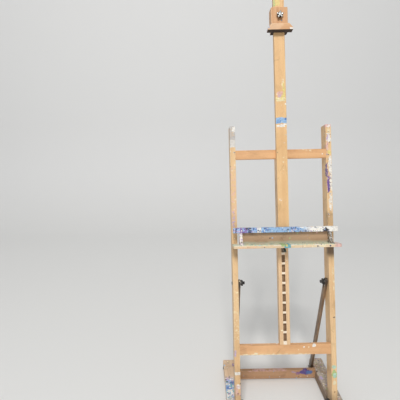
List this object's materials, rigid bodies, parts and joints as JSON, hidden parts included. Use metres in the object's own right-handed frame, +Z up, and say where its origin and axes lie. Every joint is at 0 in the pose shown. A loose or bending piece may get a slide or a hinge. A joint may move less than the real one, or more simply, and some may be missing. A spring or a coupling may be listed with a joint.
{
  "type": "artist easel",
  "caption": "Wooden H-frame studio easel: leaning frame on a floor base, rising mast with top canvas clamp, canvas tray on a ratchet post, braces and hand knobs.",
  "frame": {"origin": "on the floor, at the middle of the whole easel's plan box", "axes": "+X to the painter's right, -Y towards the painter, +Z up; the frame leans back towards +Y"},
  "size_m": [0.654, 0.8066, 2.3235],
  "materials": {
    "rail_wood": "oiled beech, grey with studio dirt and paint",
    "cross_rail_wood": "oiled beech",
    "upright_wood": "oiled beech",
    "crossbar_wood": "oiled beech",
    "post_wood": "oiled beech",
    "dowel_wood": "bare beech",
    "mast_wood": "oiled beech",
    "clamp_wood": "oiled beech",
    "ledge_paint": "wood under many coats of spilt paint",
    "tray_wood": "oiled beech with dried paint",
    "brace_finish": "dark stained wood",
    "bolt_steel": "dull zinc",
    "pawl_steel": "worn plate",
    "bush_brass": "satin",
    "knob_silver": "satin cast",
    "knob_black": "satin moulded",
    "glide_nylon": "worn"
  },
  "bodies": {
    "base": {"left_base_rail": "rail_wood", "right_base_rail": "rail_wood", "rear_cross_rail": "cross_rail_wood", "cross_rail_bolts": "bolt_steel", "floor_glides": "glide_nylon", "pivot_bolts": "bolt_steel", "pivot_washers": "bolt_steel", "brace_foot_bolts": "bolt_steel", "brace_foot_nuts": "bolt_steel"},
    "frame": {"left_upright": "upright_wood", "right_upright": "upright_wood", "upper_crossbar": "crossbar_wood", "lower_crossbar": "crossbar_wood", "crossbar_bolts": "bolt_steel", "ratchet_post": "post_wood", "post_dowels": "dowel_wood", "brace_bolts": "bolt_steel", "brace_washers": "bolt_steel", "mast_bolt": "bolt_steel", "guide_bolt": "bolt_steel", "mast_washers": "bolt_steel", "guide_nut": "bolt_steel"},
    "left_brace": {"left_brace": "brace_finish"},
    "right_brace": {"right_brace": "brace_finish"},
    "mast": {"mast": "mast_wood"},
    "clamp": {"clamp_front": "clamp_wood", "clamp_lip": "clamp_wood", "clamp_left_cheek": "clamp_wood", "clamp_right_cheek": "clamp_wood", "clamp_back": "clamp_wood", "clamp_screws": "bolt_steel", "clamp_bush": "bush_brass"},
    "clamp_screw": {"clamp_stud": "bolt_steel", "clamp_knob": "knob_silver"},
    "tray": {"canvas_ledge": "ledge_paint", "tray_panel": "tray_wood", "tray_shelf": "tray_wood", "tray_left_bracket": "tray_wood", "tray_right_bracket": "tray_wood", "tray_screws": "bolt_steel", "carriage_left_cheek": "tray_wood", "carriage_right_cheek": "tray_wood", "carriage_back": "tray_wood", "carriage_screws": "bolt_steel", "carriage_block": "tray_wood", "pawl_bracket": "bolt_steel", "pawl_hinge_pin": "bolt_steel"},
    "pawl": {"pawl": "pawl_steel"},
    "left_pivot_knob": {"left_pivot_knob": "knob_black"},
    "right_pivot_knob": {"right_pivot_knob": "knob_black"},
    "left_brace_knob": {"left_brace_knob": "knob_black"},
    "right_brace_knob": {"right_brace_knob": "knob_black"},
    "mast_knob": {"mast_knob": "knob_black"}
  },
  "joints": [
    {"name": "frame_tilt", "type": "hinge", "parent": "base", "child": "frame", "pos_m": [0, -0.16833, 0.058], "axis": [-1, 0, 0], "range_deg": [-1, 9]},
    {"name": "left_brace_swing", "type": "hinge", "parent": "base", "child": "left_brace", "pos_m": [0, 0.10667, 0.045], "axis": [-1, 0, 0], "range_deg": [-1, 8.6]},
    {"name": "right_brace_swing", "type": "hinge", "parent": "base", "child": "right_brace", "pos_m": [0, 0.10667, 0.045], "axis": [-1, 0, 0], "range_deg": [-1, 8.6]},
    {"name": "mast_slide", "type": "slide", "parent": "frame", "child": "mast", "axis": [0, 0.2588, 0.9659], "range_m": [0, 0.35]},
    {"name": "clamp_slide", "type": "slide", "parent": "mast", "child": "clamp", "axis": [0, 0.2588, 0.9659], "range_m": [-0.6, 0.12]},
    {"name": "clamp_screw_turn", "type": "hinge", "parent": "clamp", "child": "clamp_screw", "pos_m": [0, 0.31689, 2.13933], "axis": [0, -0.9659, 0.2588], "continuous": true},
    {"name": "tray_slide", "type": "slide", "parent": "frame", "child": "tray", "axis": [0, 0.2588, 0.9659], "range_m": [-0.486, 0]},
    {"name": "pawl_swing", "type": "hinge", "parent": "tray", "child": "pawl", "pos_m": [0, 0.01152, 0.91464], "axis": [1, 0, 0], "range_deg": [0, 45]},
    {"name": "left_pivot_knob_turn", "type": "hinge", "parent": "base", "child": "left_pivot_knob", "pos_m": [-0.234, -0.16833, 0.058], "axis": [1, 0, 0], "continuous": true},
    {"name": "right_pivot_knob_turn", "type": "hinge", "parent": "base", "child": "right_pivot_knob", "pos_m": [0.234, -0.16833, 0.058], "axis": [-1, 0, 0], "continuous": true},
    {"name": "left_brace_knob_turn", "type": "hinge", "parent": "frame", "child": "left_brace_knob", "pos_m": [-0.21, 0.00689, 0.71193], "axis": [1, 0, 0], "continuous": true},
    {"name": "right_brace_knob_turn", "type": "hinge", "parent": "frame", "child": "right_brace_knob", "pos_m": [0.21, 0.00689, 0.71193], "axis": [-1, 0, 0], "continuous": true},
    {"name": "mast_knob_turn", "type": "hinge", "parent": "frame", "child": "mast_knob", "pos_m": [0, 0.19942, 1.39953], "axis": [0, 0.9659, -0.2588], "continuous": true}
  ],
  "couplings": [
    {"joint": "left_brace_swing", "follows": "frame_tilt", "ratio": 0.945},
    {"joint": "right_brace_swing", "follows": "frame_tilt", "ratio": 0.945}
  ]
}
